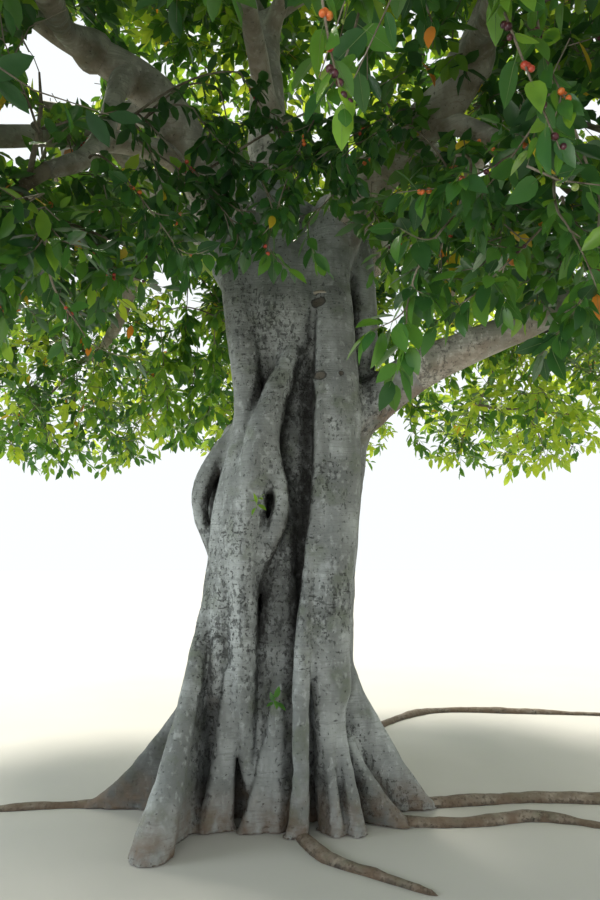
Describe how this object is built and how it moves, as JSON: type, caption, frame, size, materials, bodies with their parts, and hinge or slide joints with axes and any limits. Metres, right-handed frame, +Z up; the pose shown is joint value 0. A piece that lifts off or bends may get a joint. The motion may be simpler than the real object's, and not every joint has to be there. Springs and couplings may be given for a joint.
{
  "type": "banyan tree",
  "caption": "Banyan tree: a fluted trunk of fused stems with a flare of roots, surface roots, forking boughs and a broad crown of separate masses of foliage.",
  "frame": {"origin": "middle of the trunk's flat cut at ground level", "axes": "+Z up, -Y towards the front that the picture shows, +X to the right seen from the front"},
  "size_m": [10.8398, 10.907, 8.8028],
  "materials": {
    "trunk_bark": "matt grey bark",
    "bough_bark": "matt grey-brown bark",
    "root_bark": "matt, dusty bark",
    "foliage": "glossy leaves"
  },
  "bodies": {
    "root": {"bough_back_left": "bough_bark", "bough_back_left_back": "bough_bark", "bough_back_left_high": "bough_bark", "bough_back_left_low": "bough_bark", "bough_back_right": "bough_bark", "bough_back_right_low": "bough_bark", "bough_back_right_top": "bough_bark", "bough_centre": "bough_bark", "bough_centre_back": "bough_bark", "bough_centre_forward": "bough_bark", "bough_centre_front": "bough_bark", "bough_centre_left": "bough_bark", "bough_centre_right": "bough_bark", "bough_left": "bough_bark", "bough_left_drop": "bough_bark", "bough_left_front": "bough_bark", "bough_left_lateral": "bough_bark", "bough_left_side": "bough_bark", "bough_low_right": "bough_bark", "bough_low_right_back": "bough_bark", "bough_right": "bough_bark", "bough_right_drop": "bough_bark", "bough_right_front": "bough_bark", "mass_inner_back": "foliage", "mass_inner_left": "foliage", "mass_inner_right": "foliage", "mass_lower_1": "foliage", "mass_lower_2": "foliage", "mass_lower_3": "foliage", "mass_lower_4": "foliage", "mass_lower_5": "foliage", "mass_lower_6": "foliage", "mass_lower_7": "foliage", "mass_lower_8": "foliage", "mass_lower_9": "foliage", "mass_middle_1": "foliage", "mass_middle_2": "foliage", "mass_middle_3": "foliage", "mass_middle_4": "foliage", "mass_middle_5": "foliage", "mass_middle_6": "foliage", "mass_middle_7": "foliage", "mass_top_1": "foliage", "mass_top_2": "foliage", "mass_top_3": "foliage", "mass_top_4": "foliage", "surface_root_back_right": "root_bark", "surface_root_front": "root_bark", "surface_root_left": "root_bark", "surface_root_right": "root_bark", "surface_root_right_front": "root_bark", "trunk": "trunk_bark"}
  },
  "joints": []
}
